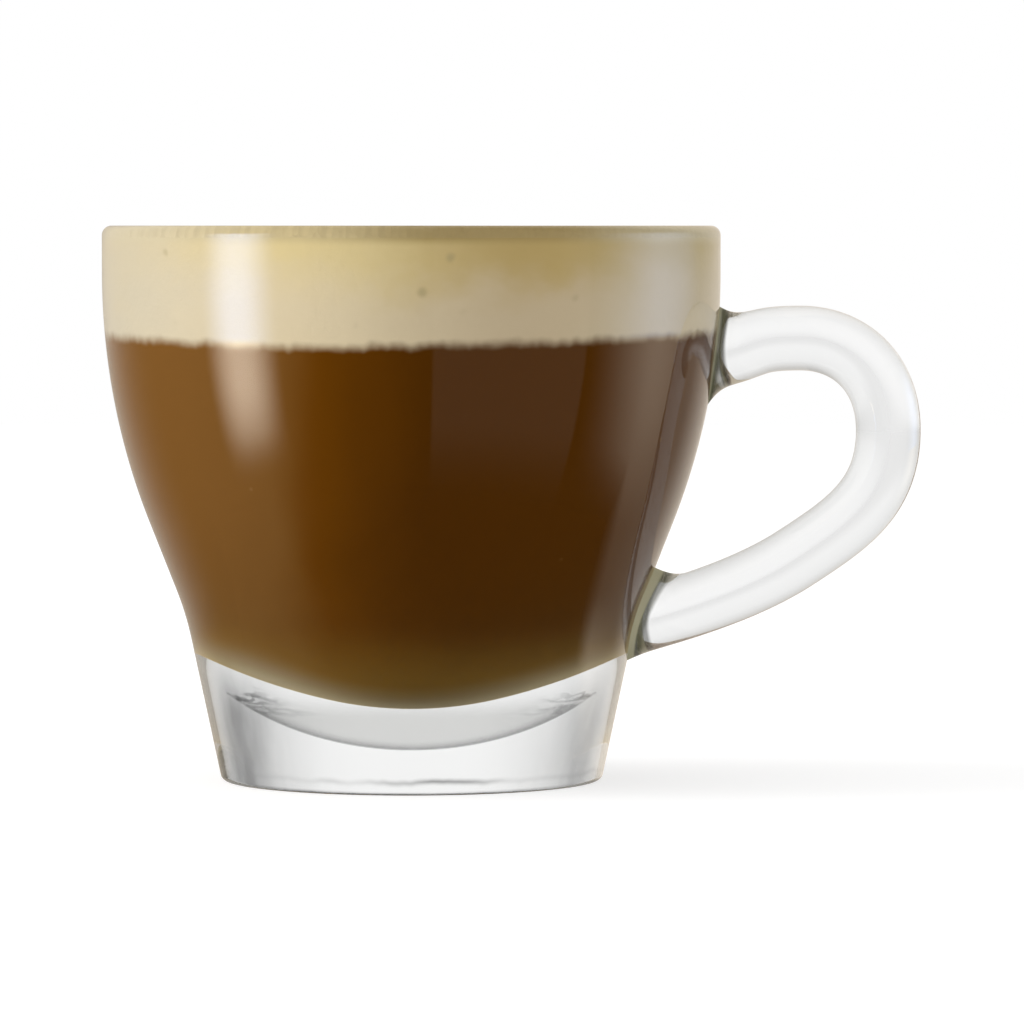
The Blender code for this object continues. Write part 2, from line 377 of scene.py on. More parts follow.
lip = bowl["wall"] / 2
wall = bowlWall()
seat = bowlSeat(wall)
cavity = cavityLine(wall)


# arc about the middle of the round lip, at angles from the outside over the top
def lipArc(radius, angles):
    return np.column_stack([
        bowl["rimRadius"] - lip + radius * np.cos(angles),
        bowl["height"] - lip + radius * np.sin(angles),
    ])


def belowLip(line):
    return line[line[:, 1] < bowl["height"] - lip][:, :2]


def makeBowl():
    over = lipArc(lip, np.linspace(np.pi, 0.0, bowl["lipPoints"]))
    profile = np.vstack([belowLip(cavity)[::-1], over, belowLip(wall), seat[1:, :2]])
    profile[[0, -1], 0] = 0.0
    melted = np.arange(len(profile) - 1) >= len(profile) - len(seat)
    return turned("glassBowl", profile, melted, bowl["sides"], "bowl_glass", "glass_bowl")


# foot: dished to the bowl's round bottom, tapered down to a flat base
foot = {
    "edge": 0.9 * mm,
    "weld": 0.12 * mm,  # the two glasses reach into each other by this much, as one melted piece
    "dishMargin": 0.2 * mm,  # the dish stops this far inside the foot's side
    "baseRings": 20,
    "sides": 192,
}


def makeFoot():
    dish = insetLine(seat, foot["weld"])
    taper = wall[-1, 2]  # the side goes straight on from the bowl's skirt
    fall = bowl["seamHeight"] - foot["edge"] * (1 - math.sin(taper))
    roundOver = 90.0 - math.degrees(taper)
    stretches = [(fall / math.cos(taper), 0.0), (arcLength(foot["edge"], roundOver), roundOver)]
    side = tangentLine(wall[-1, 0], bowl["seamHeight"], math.degrees(taper), stretches)[:, :2]
    inner = dish[dish[:, 0] < side[0, 0] - foot["dishMargin"]][::-1, :2]
    baseRadius = np.linspace(side[-1, 0], 0.0, foot["baseRings"])[1:]
    base = np.column_stack([baseRadius, np.zeros_like(baseRadius)])
    profile = np.vstack([inner, side, base])
    profile[0, 0] = 0.0
    melted = np.arange(len(profile) - 1) < len(inner)
    return turned("glassFoot", profile, melted, foot["sides"], "foot_glass", "glass_foot")


# handle: an oval rod along four cubic curves; reaches are measured outwards from the rim
handle = {
    "thickness": 8.7 * mm,
    "depth": 9.5 * mm,
    "upperHeight": 57.0 * mm,
    "upperRise": 14.0,
    "upperTangent": 6.3 * mm,
    "crest": (10.8 * mm, 59.4 * mm),
    "crestTangent": 6.6 * mm,
    "loop": (22.6 * mm, 47.0 * mm),
    "loopUpperTangent": 7.8 * mm,
    "loopLowerTangent": 9.0 * mm,
    "run": (10.1 * mm, 29.8 * mm),
    "runSlope": 33.0,
    "runTangent": 8.5 * mm,
    "lowerHeight": 21.2 * mm,
    "lowerSlope": 17.0,
    "lowerTangent": 5.0 * mm,
    "swell": 2.0 * mm,
    "underSwell": 0.3 * mm,  # the lower joint hardly flares on its underside
    "sideSwell": 0.3,  # share of the flare that goes to the front and back
    "swellLength": 4.2 * mm,
    "root": 9.0 * mm,
    "jointReach": 7.0 * mm,  # the skin meets the wall within this distance beyond the root
    "weld": 0.12 * mm,
    "endShade": (0.65 * mm, 1.35 * mm),  # what the upper and lower ends count as, along the rod
    "rows": 150,
    "crowding": 0.09,  # rows crowd together at the joints
    "sides": 56,
    "capRings": 8,
    "halvings": 40,
}


# radius of the bowl's outer wall at a height
def wallRadius(height):
    return np.interp(-height, -wall[:, 1], wall[:, 0])


def direction(angle):
    return np.array([math.cos(math.radians(angle)), math.sin(math.radians(angle))])


# cubic curve in the handle's plane from the first point to the last, drawn towards the two others
def cubic(first, second, third, last, steps=60):
    t = np.linspace(0.0, 1.0, steps)[:, None]
    start = (1 - t) ** 3 * first + 3 * t * (1 - t) ** 2 * second
    return start + 3 * t ** 2 * (1 - t) * third + t ** 3 * last


# centreline with a straight root at both ends that runs on into the bowl's wall, and the length along it
def handleLine():
    rim = np.array([bowl["rimRadius"], 0.0])
    upper = np.array([wallRadius(handle["upperHeight"]), handle["upperHeight"]])
    crest = rim + handle["crest"]
    loop = rim + handle["loop"]
    run = rim + handle["run"]
    lower = np.array([wallRadius(handle["lowerHeight"]), handle["lowerHeight"]])
    out = direction(handle["upperRise"])
    across = direction(0.0) * handle["crestTangent"]
    runOut = direction(handle["runSlope"]) * handle["runTangent"]
    rootOut = direction(handle["lowerSlope"])
    spans = [
        cubic(upper, upper + out * handle["upperTangent"], crest - across, crest),
        cubic(crest, crest + across, loop + direction(90.0) * handle["loopUpperTangent"], loop),
        cubic(loop, loop + direction(-90.0) * handle["loopLowerTangent"], run + runOut, run),
        cubic(run, run - runOut, lower + rootOut * handle["lowerTangent"], lower),
    ]
    middle = np.vstack([spans[0]] + [span[1:] for span in spans[1:]])
    line = np.vstack([upper - out * handle["root"], middle, lower - rootOut * handle["root"]])
    return np.column_stack([line, lengthAlong(line)])


# a point of the rod: the centreline at a distance along it, plus the oval section turned square to
# it, scaled by share and swollen near the joints by the square of what is left of the swell length
def rodPoint(line, along, angle, share, fromJoint):
    tangent = np.gradient(line[:, :2], line[:, 2], axis=0)
    x, z, tx, tz = (np.interp(along, line[:, 2], v) for v in (line[:, 0], line[:, 1], *tangent.T))
    size = np.hypot(tx, tz)
    left = np.clip(1 - fromJoint / handle["swellLength"], 0.0, 1.0)
    under = (1 + np.cos(angle)) / 2 * (along > line[-1, 2] / 2)  # 1 on the lower joint's underside
    swell = between(under, handle["swell"], handle["underSwell"])
    flare = swell / (handle["thickness"] / 2) * left ** 2
    across = share * (1 + flare) * handle["thickness"] / 2 * np.cos(angle)
    side = share * (1 + handle["sideSwell"] * flare) * handle["depth"] / 2 * np.sin(angle)
    return np.stack([x - across * tz / size, side, z + across * tx / size], axis=-1)


# distance along the rod at which a line of its skin reaches the wall, found by halving
def wallDistance(line, angle, share, low, high):
    low = np.full(np.shape(angle + share), low)
    high = np.full(np.shape(angle + share), high)
    for _ in range(handle["halvings"]):
        middle = (low + high) / 2
        point = rodPoint(line, middle, angle, share, np.zeros_like(middle))
        outside = np.hypot(point[..., 0], point[..., 1]) > wallRadius(point[..., 2]) - handle["weld"]
        high = np.where(outside, middle, high)
        low = np.where(outside, low, middle)
    return (low + high) / 2


def makeHandle():
    line = handleLine()
    length = line[-1, 2]
    angle = np.linspace(0.0, 2 * np.pi, handle["sides"], endpoint=False)[None, :]
    cap = np.linspace(0.0, 1.0, handle["capRings"] + 1)[1:, None]
    reach = handle["root"] + handle["jointReach"]
    upper = wallDistance(line, angle, cap, 0.0, reach)
    lower = wallDistance(line, angle, cap, length, length - reach)
    share = np.linspace(0.0, 1.0, handle["rows"])[1:-1, None]
    share = share - handle["crowding"] * np.sin(4 * np.pi * share) / 2
    along = upper[-1:] + share * (lower[-1:] - upper[-1:])
    fromJoint = np.minimum(along - upper[-1:], lower[-1:] - along)
    grid = np.concatenate([
        rodPoint(line, upper, angle, cap, np.zeros_like(upper)),
        rodPoint(line, along, angle, 1.0, fromJoint),
        rodPoint(line, lower, angle, cap, np.zeros_like(lower))[::-1],
    ])
    upperPole = rodPoint(line, upper[0].mean(), 0.0, 0.0, 0.0)
    lowerPole = rodPoint(line, lower[0].mean(), 0.0, 0.0, 0.0)
    rod = closedRings("glassHandle", grid, upperPole, lowerPole, "handle_glass", "glass_handle")
    # the ends count as a little way along the rod, so that only its skin shows the joint's painted pale
    # line
    inner = cap + np.zeros_like(upper) < 1.0
    upperEnd, lowerEnd = (np.where(inner, shade, 0.0) for shade in handle["endShade"])
    keepNumbers(rod, "fromJoint", [upperEnd, fromJoint, lowerEnd[::-1], handle["endShade"]])
    return rod


# drink: it wets the glass, so its skin lies a hair inside the inner wall
drink = {
    "wet": 0.05 * mm,
    "boundary": (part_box("coffee")[1].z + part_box("milk_foam")[0].z) / 2,
    "foamTop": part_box("milk_foam")[1].z,
    "cremaTop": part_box("crema")[1].z,
    "lipStart": 95.0,
    "lipPoints": 16,
    "slowWaves": (1, 9),  # counts round the axis, for the line between coffee and foam
    "slowHeight": 0.12 * mm,
    "fineWaves": (20, 190),
    "fineHeight": 0.6 * mm,
    "lean": 0.25 * mm,  # that line is higher towards the handle
    "saddle": 0.5 * mm,  # and lower in front and behind
    "foamGap": 0.05 * mm,  # between the coffee's top and the foam's underside, at the axis
    "topLift": 12.0 * mm,  # height above that line that the foam's top counts as
    "bottomDepth": 100.0 * mm,  # depth below it that the coffee's lowest point counts as
    "middleShare": 0.1,
    "discRings": 10,
    "coffeeRows": 70,
    "foamRows": 26,
    "sides": 720,
    "seed": 11,
}
wetLip = np.linspace(np.radians(drink["lipStart"]), np.pi, drink["lipPoints"])
wetLine = np.vstack([lipArc(lip - drink["wet"], wetLip), belowLip(insetLine(cavity, -drink["wet"]))])
wetAlong = lengthAlong(wetLine)
turnAngle = np.linspace(0.0, 2 * np.pi, drink["sides"], endpoint=False)


# waves round the axis: whole numbers of cosines with random phases, weaker as they get finer
def ringWaves(counts, heights, seed):
    draw = np.random.default_rng(seed)
    phase = draw.uniform(0.0, 2 * np.pi, len(counts))
    size = heights * draw.normal(0.0, 1.0, len(counts))
    return (size[:, None] * np.cos(np.outer(counts, turnAngle) + phase[:, None])).sum(axis=0)


def alongAtHeight(height):
    return np.interp(-height, -wetLine[:, 1], wetAlong)


# points on the wetted wall at distances along its section, for every angle
def wallGrid(along):
    radius = np.interp(along, wetAlong, wetLine[:, 0])
    height = np.interp(along, wetAlong, wetLine[:, 1])
    return np.stack([radius * np.cos(turnAngle), radius * np.sin(turnAngle), height], axis=-1)


# rings shrinking to the axis from an edge ring, easing from the edge's height to a middle height
def discGrid(edge, middle, shares):
    share = shares[:, None, None]
    grid = edge[None] * np.array([1.0, 1.0, 0.0]) * share
    grid[..., 2] = middle + (edge[None, :, 2] - middle) * share[..., 0] ** 2
    return grid


# the same rings from the middle outwards, without the edge ring itself
def topDisc(edge, middle):
    return discGrid(edge, middle, np.linspace(drink["middleShare"], 1.0, drink["discRings"])[:-1])


# and from the edge inwards
def underDisc(edge, middle, rings):
    return discGrid(edge, middle, np.linspace(1.0, drink["middleShare"], rings)[1:])


slow = np.arange(*drink["slowWaves"])
fine = np.arange(*drink["fineWaves"])
boundary = drink["boundary"] + ringWaves(slow, drink["slowHeight"] / slow ** 0.5, drink["seed"])
boundary = boundary + ringWaves(fine, drink["fineHeight"] / fine, drink["seed"] + 1)
boundary = boundary + drink["lean"] * np.cos(turnAngle) + drink["saddle"] * np.cos(2 * turnAngle)
boundaryAlong = alongAtHeight(boundary)


def makeCoffee():
    rows = np.linspace(0.0, 1.0, drink["coffeeRows"])[:-1, None]
    side = wallGrid(boundaryAlong + rows * (wetAlong[-1] - boundaryAlong))
    top = topDisc(side[0], drink["boundary"])
    grid = np.concatenate([top, side])
    poles = [(0.0, 0.0, drink["boundary"]), (0.0, 0.0, wetLine[-1, 1])]
    body = closedRings("coffeeBody", grid, *poles, "coffee", "coffee")
    poleDepth = [0.0, drink["bottomDepth"]]
    keepNumbers(body, "depth", [np.zeros(top.shape[:2]), boundary - side[..., 2], poleDepth])
    return body


def makeFoam():
    topAlong = alongAtHeight(drink["foamTop"])
    rows = np.linspace(0.0, 1.0, drink["foamRows"])[:, None]
    side = wallGrid(topAlong + rows * (boundaryAlong - topAlong))
    bottom = drink["boundary"] + drink["foamGap"]
    top = topDisc(side[0], drink["foamTop"])
    under = underDisc(side[-1], bottom, drink["discRings"])
    grid = np.concatenate([top, side, under])
    poles = [(0.0, 0.0, drink["foamTop"]), (0.0, 0.0, bottom)]
    foam = closedRings("milkFoam", grid, *poles, "milk_foam", "milk_foam")
    topLift = np.full(top.shape[:2], drink["topLift"])
    poleLift = [drink["topLift"], 0.0]
    keepNumbers(foam, "lift", [topLift, side[..., 2] - boundary, np.zeros(under.shape[:2]), poleLift])
    return foam


# crema: a thin froth skin that climbs a little where it meets the glass
crema = {
    "dip": 0.2 * mm,  # the froth lies this far below the node's top
    "climb": 0.35 * mm,
    "climbWidth": 1.2 * mm,
    "bubbles": 420,
    "bubbleRadius": 1.1 * mm,
    "smallest": 0.35,  # share of that radius, before it is squared
    "atGlass": 0.35,  # share of the bubbles that stand beside the glass
    "glassGap": 1.5 * mm,
    "dome": 0.3,  # height of a bubble by its radius
    "calmWidth": 2.5 * mm,  # the bubbles flatten towards the glass
    "calmShare": 0.3,
    "middleShare": 0.012,
    "topRings": 90,
    "sideRows": 8,
    "underRings": 8,
    "seed": 5,
}


def makeCrema():
    draw = np.random.default_rng(crema["seed"])
    level = drink["cremaTop"] - crema["dip"]
    topAlong = alongAtHeight(level + crema["climb"])
    lowAlong = alongAtHeight(drink["foamTop"])
    edge = wallGrid(np.full_like(turnAngle, topAlong))
    top = discGrid(edge, level, np.linspace(crema["middleShare"], 1.0, crema["topRings"]))
    radius = np.hypot(top[..., 0], top[..., 1])
    climb = np.exp((radius - edge[0, 0]) / crema["climbWidth"])
    top[..., 2] = level + crema["climb"] * climb
    # small domes where bubbles stand, more of them near the glass
    count = crema["bubbles"]
    spot = np.sqrt(draw.uniform(0.0, 1.0, count)) * edge[0, 0]
    beside = draw.uniform(0.0, 1.0, count) < crema["atGlass"]
    spot = np.where(beside, edge[0, 0] - crema["glassGap"], spot)
    turn = draw.uniform(0.0, 2 * np.pi, count)
    size = draw.uniform(crema["smallest"], 1.0, count) ** 2 * crema["bubbleRadius"]
    dome = np.zeros(radius.shape)
    for x, y, r in zip(spot * np.cos(turn), spot * np.sin(turn), size):
        gap = ((top[..., 0] - x) ** 2 + (top[..., 1] - y) ** 2) / r ** 2
        dome = np.maximum(dome, crema["dome"] * r * np.clip(1 - gap, 0.0, 1.0))
    inside = np.clip((edge[0, 0] - radius) / crema["calmWidth"] - crema["calmShare"], 0.0, 1.0)
    top[..., 2] += dome * inside
    rows = np.linspace(0.0, 1.0, crema["sideRows"])[1:, None]
    side = wallGrid(topAlong + rows * (lowAlong - topAlong) + np.zeros_like(turnAngle))
    under = underDisc(side[-1], drink["foamTop"], crema["underRings"])
    grid = np.concatenate([top, side, under])
    poles = [(0.0, 0.0, top[0, :, 2].mean()), (0.0, 0.0, drink["foamTop"])]
    return closedRings("cremaSkin", grid, *poles, "crema", "crema")


# clear glass: light for shadows and for the drink goes straight through, what is seen is refracted
glass = {
    "index": 1.5,
    "face": colour(0.985, 0.99, 0.985),
    # painted shade: the grey that the glass takes at its outline
    "edge": colour(0.66, 0.67, 0.64),
    "edgePower": 4.0,
    "shade": colour(0.90, 0.91, 0.91),
    "haze": colour(0.62, 0.60, 0.54),
    "trapped": (1.5, 2.5),  # beyond this many mirrorings to and fro inside the wall, a ray ends on the haze, a painted light
    "smudgeNoise": (90.0, 4.0, 0.6),  # scale, detail and roughness
    "smudge": (0.45, 0.8),
    "smudgeRoughness": 0.03,
    "rippleNoise": (45.0, 1.0, 0.4),
    "rippleBump": (0.05, 0.6 * mm),  # strength and distance
}

# the thick glass below: a soft dark band of painted shade along its sides, weaker towards the handle, and
# a short grey dash of painted shade where the base shows through the near side
footLook = {
    "height": (9.0 * mm, 21.0 * mm),  # from the thick glass to the wall
    "band": grey(0.14),
    "bandFacing": (0.04, 0.54, 0.76),
    "bandStreaks": (0.65, 1.35),
    "bandFade": (4.0 * mm, 22.0 * mm),
    "bandFaded": 0.7,
    "streakScale": 260.0,
    "streakStretch": (1.0, 1.0, 0.2),
    "heelShade": grey(0.04),
    "heelHeight": (1.5 * mm, 2.1 * mm, 0.4 * mm),
    "heelWander": 1.0 * mm,
    "heelScale": 55.0,
    "heelGaps": (0.2, 0.55),
    "heelFacing": (0.05, 0.2),
    "heelFaded": 0.25,
}


# bowl and foot: painted shade, grey at the wall's outline, and below as the foot's look says
def bodyTint(tree):
    look = footLook
    facing = tree.facing()
    place = tree.place()
    x, _, z = tree.axes(place)
    streak = tree.noise(tree.stretched(place, look["streakStretch"]), look["streakScale"])
    # painted shade: a dark band where the thick glass is seen at a slant
    start, peak, end = look["bandFacing"]
    band = tree.rise(facing, start, peak) * (1 - tree.rise(facing, peak, end))
    band = band * between(streak, *look["bandStreaks"])
    band = band * between(tree.rise(x, *look["bandFade"]), 1.0, look["bandFaded"])
    thick = 1 - tree.rise(z, *look["height"])
    face = tree.mixColour(facing ** glass["edgePower"] * (1 - thick), glass["face"], glass["edge"])
    # painted shade: a dark dash low on the foot's side, only where it is seen directly
    heelShade = tree.band(z + (streak - 0.5) * look["heelWander"], *look["heelHeight"])
    heelShade = heelShade * tree.rise(tree.noise(place, look["heelScale"]), *look["heelGaps"])
    heelShade = heelShade * tree.lightPath("Is Camera Ray")  # only where it is seen directly
    heelShade = heelShade * between(tree.rise(facing, *look["heelFacing"]), 1.0, look["heelFaded"])
    face = tree.mixColour(heelShade, face, look["heelShade"])
    return tree.mixColour(band * thick, face, look["band"])


rodLook = {
    "face": colour(0.96, 0.962, 0.96),
    # painted shade at the rod's edges
    "edge": colour(0.64, 0.65, 0.64),
    "edgePower": 1.3,
    # painted shade and painted reflection at the joints
    "jointDark": colour(0.10, 0.10, 0.06),
    "jointPale": colour(0.52, 0.49, 0.33),
    "jointHeights": (30.0 * mm, 45.0 * mm),  # the lower joint is below these, the upper one above
    "dark": (1.7 * mm, 2.5 * mm),
    "darkLess": 1.0 * mm,  # narrower at the upper joint
    "darkShares": (0.66, 0.80),  # at the lower and upper joint
    "pale": (0.9 * mm, 1.3 * mm),
    "paleLess": 0.7 * mm,
    "paleShares": (0.85, 0.40),
}


# painted shade: the rod is greyer towards its edges
def rodTint(tree):
    return tree.mixColour(tree.facing() ** rodLook["edgePower"], rodLook["face"], rodLook["edge"])


# the rod's joints: a pale line of painted reflection at the wall, then a dark band of painted shade where
# the drink would show dark through them
def jointShade(tree, solid):
    look = rodLook
    fromJoint = tree.stored("fromJoint")
    upper = tree.rise(tree.axes(tree.place())[2], *look["jointHeights"])
    dark = 1 - tree.rise(fromJoint + upper * look["darkLess"], *look["dark"])
    pale = 1 - tree.rise(fromJoint + upper * look["paleLess"], *look["pale"])
    dark = dark * between(upper, *look["darkShares"])
    pale = pale * between(upper, *look["paleShares"])
    surface = tree.mixShader(dark, solid, tree.matt(look["jointDark"]))
    return tree.mixShader(pale, surface, tree.matt(look["jointPale"]))


# the seed moves the smudges and ripples, so that no two pieces have the same
def glassFinish(name, seed, tint, shade=None):
    material, tree = newFinish(name)
    offset = (seed, 0.3 * seed, 0.7 * seed)
    place = tree.add("Mapping", None, {"Vector": tree.place(), "Location": offset})
    smudge = tree.noise(place, *glass["smudgeNoise"])
    ripple = tree.noise(place, *glass["rippleNoise"])
    inputs = {
        "Base Color": tint(tree),
        "Roughness": tree.rise(smudge, *glass["smudge"]) * glass["smudgeRoughness"],
        "IOR": glass["index"],
        "Transmission Weight": 1.0,
        "Normal": tree.bump(ripple, *glass["rippleBump"]),
    }
    surface = tree.add("BsdfPrincipled", None, inputs)
    if shade:
        surface = shade(tree, surface)
    # painted light: a pale matt haze for rays trapped in the wall, where they would end dark
    trapped = tree.rise(tree.lightPath("Glossy Depth"), *glass["trapped"])
    surface = tree.mixShader(trapped, surface, tree.matt(glass["haze"]))
    straight = tree.math("MAXIMUM", tree.lightPath("Is Shadow Ray"), tree.lightPath("Is Diffuse Ray"))
    tree.output(tree.mixShader(straight, surface, tree.clear(glass["shade"])))
    return material


# faces where the bowl is melted to the foot: a faint veil of painted reflection near the axis, a line of
# painted shade where it is seen edge on, and a few ripples round it
seatLook = {
    "none": grey(1.0),
    "veil": colour(0.925, 0.925, 0.922),
    "veilFade": (13.0 * mm, 17.2 * mm),
    "line": grey(0.79),
    "lineFacing": (0.66, 0.95),
    "ripple": grey(0.66),
    "ripples": (14.2 * mm, 16.4 * mm, 0.5 * mm),
    "ripplePitch": 1.7 * mm,
    "rippleCrest": (0.0, 0.95),
    "rippleFacing": (0.45, 0.8),
    "rippleFade": (0.0, 10.0 * mm),
    "rippleFaded": 0.6,  # weaker towards the handle
    "wander": 4.0 * mm,
    "wanderScale": 260.0,
    "wanderStretch": (1.0, 1.0, 2.5),
}


def seatFinish():
    look = seatLook
    material, tree = newFinish("meltedGlass")
    place = tree.place()
    fromAxis = tree.fromAxis(place)
    facing = tree.facing()
    none, veil, line, ripple = (tree.clear(look[name]) for name in ("none", "veil", "line", "ripple"))
    drawn = tree.noise(tree.stretched(place, look["wanderStretch"]), look["wanderScale"])
    across = fromAxis + (drawn - 0.5) * look["wander"]
    turn = (across - look["ripples"][0]) * (2 * math.pi / look["ripplePitch"])
    ripples = tree.rise(tree.math("COSINE", turn), *look["rippleCrest"])
    ripples = ripples * tree.band(across, *look["ripples"])
    towards = tree.rise(tree.axes(place)[0], *look["rippleFade"])
    ripples = ripples * between(towards, 1.0, look["rippleFaded"])
    surface = tree.mixShader(tree.rise(facing, *look["lineFacing"]), veil, line)
    surface = tree.mixShader(1 - tree.rise(fromAxis, *look["veilFade"]), none, surface)
    tree.output(tree.mixShader(ripples * tree.rise(facing, *look["rippleFacing"]), surface, ripple))
    return material


coffeeLook = {
    "dark": colour(0.088, 0.0265, 0.0006),
    "amber": colour(0.155, 0.048, 0.0006),
    "amberSide": (-0.08, 0.27),
    # painted light: the lit, milky side away from the handle
    "milkyLit": colour(0.215, 0.092, 0.020),
    "milkyLitSide": (0.19, 0.40),
    "sidePerMetre": -22.0,
    "sideCloud": 0.5,
    "cloud": (30.0, 3.0, 0.55),  # scale, detail and roughness
    "cloudStretch": (1.0, 1.0, 0.35),
    # painted light: the lighter brown low in the coffee
    "bottom": colour(0.36, 0.19, 0.016),
    "bottomHeight": (12.0 * mm, 24.0 * mm),
    "bottomWander": 4.0 * mm,
    "bottomShare": 0.45,
    "fringe": colour(0.60, 0.55, 0.44),
    "fringeFacing": (0.56, 0.97),
    "fringeHeight": (15.0 * mm, 22.0 * mm),
    "fringeSide": (-24.0 * mm, -4.0 * mm),  # wider on the side away from the handle
    "fringeWider": 0.12,
    "bubble": colour(0.34, 0.20, 0.08),
    "bubbleScale": 260.0,
    "bubbleSize": (0.07, 0.13),
    "patches": (120.0, 1.0),
    "bubblePatches": (0.62, 0.72),
    "bubbleShare": 0.6,
    "mirrored": colour(0.80, 0.80, 0.78),
    "mirroredShare": 0.85,
    "sheen": colour(0.85, 0.62, 0.24),
    "roughCloud": (0.3, 0.8),
    "roughness": (0.3, 0.5),
    "bump": (0.2, 0.3 * mm),  # strength and distance
    "raggedNoise": (240.0, 3.0, 0.6),
    "ragged": 1.1 * mm,
    "mingled": (-0.8 * mm, 1.0 * mm),
}


# three tones, with painted light and shade: dark towards the handle, amber in front, and milky and
# lighter on the lit side away from the handle
def coffeeTone(tree, place, cloud):
    look = coffeeLook
    side = tree.axes(place)[0] * look["sidePerMetre"] + (cloud - 0.5) * look["sideCloud"]
    front = tree.mixColour(tree.rise(side, *look["amberSide"]), look["dark"], look["amber"])
    return tree.mixColour(tree.rise(side, *look["milkyLitSide"]), front, look["milkyLit"])


# share of foam near the ragged line where foam and coffee mingle, by the height above that line
def foamShare(tree, place, lift):
    ragged = (tree.noise(place, *coffeeLook["raggedNoise"]) - 0.5) * coffeeLook["ragged"]
    return tree.rise(lift + ragged, *coffeeLook["mingled"])


def coffeeFinish():
    look = coffeeLook
    material, tree = newFinish("coffeeBrown")
    place = tree.place()
    x, _, z = tree.axes(place)
    cloud = tree.noise(tree.stretched(place, look["cloudStretch"]), *look["cloud"])
    base = coffeeTone(tree, place, cloud)
    # painted light: a lighter brown towards the bottom of the coffee
    low = 1 - tree.rise(z + (cloud - 0.5) * look["bottomWander"], *look["bottomHeight"])
    base = tree.mixColour(low * look["bottomShare"], base, look["bottom"])
    # painted light: pale at the lower outline, where the coffee is thin
    wider = (1 - tree.rise(x, *look["fringeSide"])) * look["fringeWider"]
    fringe = tree.rise(tree.facing() + wider, *look["fringeFacing"])
    fringe = fringe * (1 - tree.rise(z, *look["fringeHeight"]))
    base = tree.mixColour(fringe, base, look["fringe"])
    froth = sideTones(tree, place, cloud, foamLook["low"], foamLook["turn"])
    base = tree.mixColour(foamShare(tree, place, tree.stored("depth") * -1.0), base, froth)
    bubble = 1 - tree.rise(tree.cells(place, look["bubbleScale"]), *look["bubbleSize"])
    patch = tree.rise(tree.noise(place, *look["patches"]), *look["bubblePatches"])
    base = tree.mixColour(bubble * patch * look["bubbleShare"], base, look["bubble"])
    # painted reflection: pale in the mirror images inside the glass
    base = tree.mixColour(tree.mirrored() * look["mirroredShare"], base, look["mirrored"])
    inputs = {
        "Base Color": base,
        "Roughness": between(tree.rise(cloud, *look["roughCloud"]), *look["roughness"]),
        "Specular IOR Level": 0.0,
        "Sheen Weight": 0.7,
        "Sheen Roughness": 0.4,
        "Sheen Tint": look["sheen"],
        "Normal": tree.bump(cloud, *look["bump"]),
    }
    tree.output(tree.add("BsdfPrincipled", None, inputs))
    return material


# the lists hold four tones, with painted light and shade: the lit side away from the handle, the front,
# browned by the coffee and darker with painted shade, and beside the handle
foamLook = {
    "low": [
        colour(0.69, 0.60, 0.445), colour(0.85, 0.70, 0.46),
        colour(0.655, 0.52, 0.335), colour(0.68, 0.57, 0.39),
    ],
    "high": [
        colour(0.71, 0.60, 0.41), colour(0.865, 0.69, 0.35),
        colour(0.57, 0.41, 0.16), colour(0.61, 0.49, 0.26),
    ],
    "highLift": (0.3, 1.0),
    "liftPerMetre": 80.0,
    "liftCloud": 1.3,
    "cloud": (42.0, 4.0, 0.6),
    "cloudStretch": (1.0, 1.0, 1.6),
    "frontSide": (-40.0 * mm, -14.0 * mm),
    "turn": (-10.0 * mm, 16.0 * mm),  # from the front tone to the browned, shaded one
    "handleSide": (18.0 * mm, 33.0 * mm),
    "sideCloud": 12.0 * mm,
    "cremaHeight": (71.7 * mm, 73.2 * mm),  # the crema's edge shows from here up
    "pore": colour(0.42, 0.33, 0.17),
    "poreScale": 240.0,
    "poreSize": (0.05, 0.24),
    "patches": (130.0, 1.0),
    "porePatches": (0.56, 0.66),
    "poreShare": 0.5,
    "froth": (700.0, 3.0, 0.6),
    "roughness": (0.55, 0.85),
    "bump": (0.25, 0.3 * mm),
}


# tones that follow each other from the side away from the handle to the handle, with their painted light
# and shade
def sideTones(tree, place, cloud, tones, turn):
    across = tree.axes(place)[0] + (cloud - 0.5) * foamLook["sideCloud"]
    pale = tree.mixColour(tree.rise(across, *foamLook["frontSide"]), tones[0], tones[1])
    brownedShaded = tree.mixColour(tree.rise(across, *turn), pale, tones[2])
    return tree.mixColour(tree.rise(across, *foamLook["handleSide"]), brownedShaded, tones[3])


def foamFinish():
    look = foamLook
    material, tree = newFinish("milkFoamCream")
    place = tree.place()
    lift = tree.stored("lift")
    cloud = tree.noise(tree.stretched(place, look["cloudStretch"]), *look["cloud"])
    high = lift * look["liftPerMetre"] + (cloud - 0.5) * look["liftCloud"]
    low, upper = (sideTones(tree, place, cloud, look[name], look["turn"]) for name in ("low", "high"))
    base = tree.mixColour(tree.rise(high, *look["highLift"]), low, upper)
    edge = sideTones(tree, place, cloud, cremaLook["edge"], cremaLook["turn"])
    base = tree.mixColour(tree.rise(tree.axes(place)[2], *look["cremaHeight"]), base, edge)
    base = tree.mixColour(foamShare(tree, place, lift), coffeeTone(tree, place, cloud), base)
    pore = 1 - tree.rise(tree.cells(place, look["poreScale"]), *look["poreSize"])
    patch = tree.rise(tree.noise(place, *look["patches"]), *look["porePatches"])
    base = tree.mixColour(pore * patch * look["poreShare"], base, look["pore"])
    froth = tree.noise(place, *look["froth"])
    inputs = {
        "Base Color": base,
        "Roughness": between(froth, *look["roughness"]),
        "Specular IOR Level": 0.0,
        "Normal": tree.bump(froth, *look["bump"]),
    }
    tree.output(tree.add("BsdfPrincipled", None, inputs))
    return material


